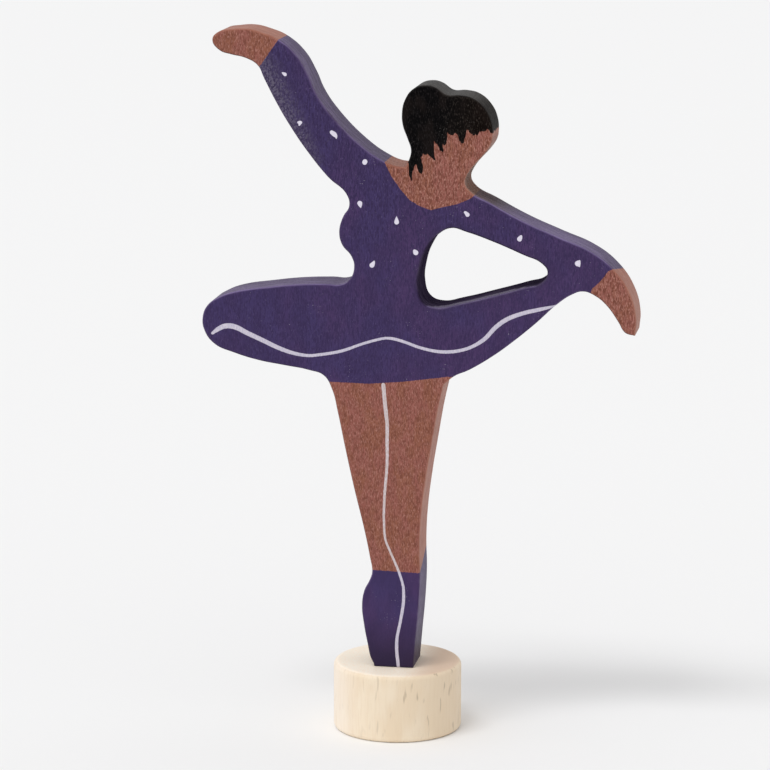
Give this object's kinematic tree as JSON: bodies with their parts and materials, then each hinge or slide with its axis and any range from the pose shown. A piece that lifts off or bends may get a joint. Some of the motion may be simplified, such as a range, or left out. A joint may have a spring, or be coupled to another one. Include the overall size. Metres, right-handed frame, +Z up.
{
  "type": "ballerina figurine",
  "caption": "Flat wooden cut-out of a ballerina in a stiff tutu, one arm raised and one lowered, standing on a low round plug base.",
  "frame": {"origin": "centre of the round base's underside", "axes": "+Z up through the base and the figure; the painted front looks along -Y; the raised arm reaches towards -X"},
  "size_m": [0.067, 0.02, 0.1096],
  "materials": {
    "stained_wood": "satin",
    "beech": "matte"
  },
  "bodies": {
    "root": {"ballerina": "stained_wood", "base": "beech"}
  },
  "joints": []
}
